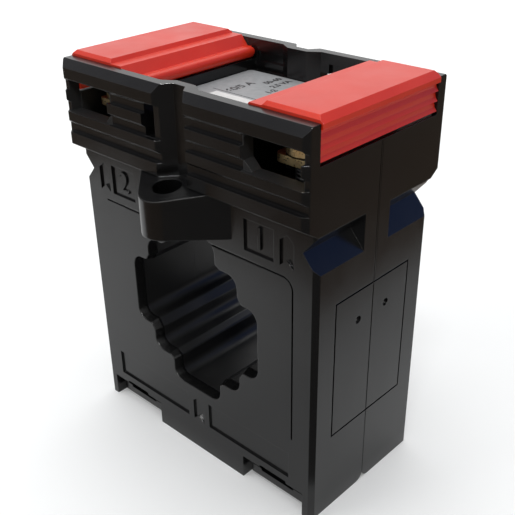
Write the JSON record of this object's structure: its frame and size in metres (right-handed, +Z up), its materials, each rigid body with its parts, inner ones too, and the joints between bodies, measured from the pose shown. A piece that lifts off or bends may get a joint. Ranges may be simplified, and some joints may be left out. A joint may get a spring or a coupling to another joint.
{
  "type": "current transformer",
  "caption": "Plug-on measuring current transformer for busbars, with a stepped window, wire clamps on both sides under two hinged red covers, and a lug for a fixing screw.",
  "frame": {"origin": "middle of the footprint, level with the feet", "axes": "+X along the front face to the right, -Y out of the front face, +Z up"},
  "size_m": [0.0606, 0.0502, 0.0789],
  "materials": {
    "shell": "semi-gloss moulded black plastic",
    "cover": "semi-gloss moulded red plastic",
    "core": "wound steel strip",
    "cap": "natural plastic",
    "winding": "enamelled copper wire, close wound",
    "lead": "copper wire",
    "bar": "plain brass",
    "clamp": "plain brass",
    "screw": "zinc plated steel",
    "label": "silver-grey rating label"
  },
  "bodies": {
    "housing": {"front_shell": "shell", "rear_shell": "shell", "core": "core", "core_cap_front": "cap", "core_cap_rear": "cap", "winding": "winding", "lead_left": "lead", "lead_right": "lead", "terminal_bar_left": "bar", "terminal_bar_right": "bar", "label_plate": "label"},
    "cover_left": {"left_cover": "cover"},
    "cover_right": {"right_cover": "cover"},
    "clamp_left_front": {"clamp_plate_left_front": "clamp", "clamp_screw_left_front": "screw"},
    "clamp_left_rear": {"clamp_plate_left_rear": "clamp", "clamp_screw_left_rear": "screw"},
    "clamp_right_front": {"clamp_plate_right_front": "clamp", "clamp_screw_right_front": "screw"},
    "clamp_right_rear": {"clamp_plate_right_rear": "clamp", "clamp_screw_right_rear": "screw"}
  },
  "joints": [
    {"name": "left_cover_hinge", "type": "hinge", "parent": "housing", "child": "cover_left", "pos_m": [-0.013, 0, 0.0752], "axis": [0, 1, 0], "range_deg": [0, 110]},
    {"name": "right_cover_hinge", "type": "hinge", "parent": "housing", "child": "cover_right", "pos_m": [0.013, 0, 0.0752], "axis": [0, -1, 0], "range_deg": [0, 110]},
    {"name": "clamp_slide_left_front", "type": "slide", "parent": "housing", "child": "clamp_left_front", "axis": [0, 0, 1], "range_m": [0, 0.0019]},
    {"name": "clamp_slide_left_rear", "type": "slide", "parent": "housing", "child": "clamp_left_rear", "axis": [0, 0, 1], "range_m": [0, 0.0019]},
    {"name": "clamp_slide_right_front", "type": "slide", "parent": "housing", "child": "clamp_right_front", "axis": [0, 0, 1], "range_m": [0, 0.0019]},
    {"name": "clamp_slide_right_rear", "type": "slide", "parent": "housing", "child": "clamp_right_rear", "axis": [0, 0, 1], "range_m": [0, 0.0019]}
  ]
}
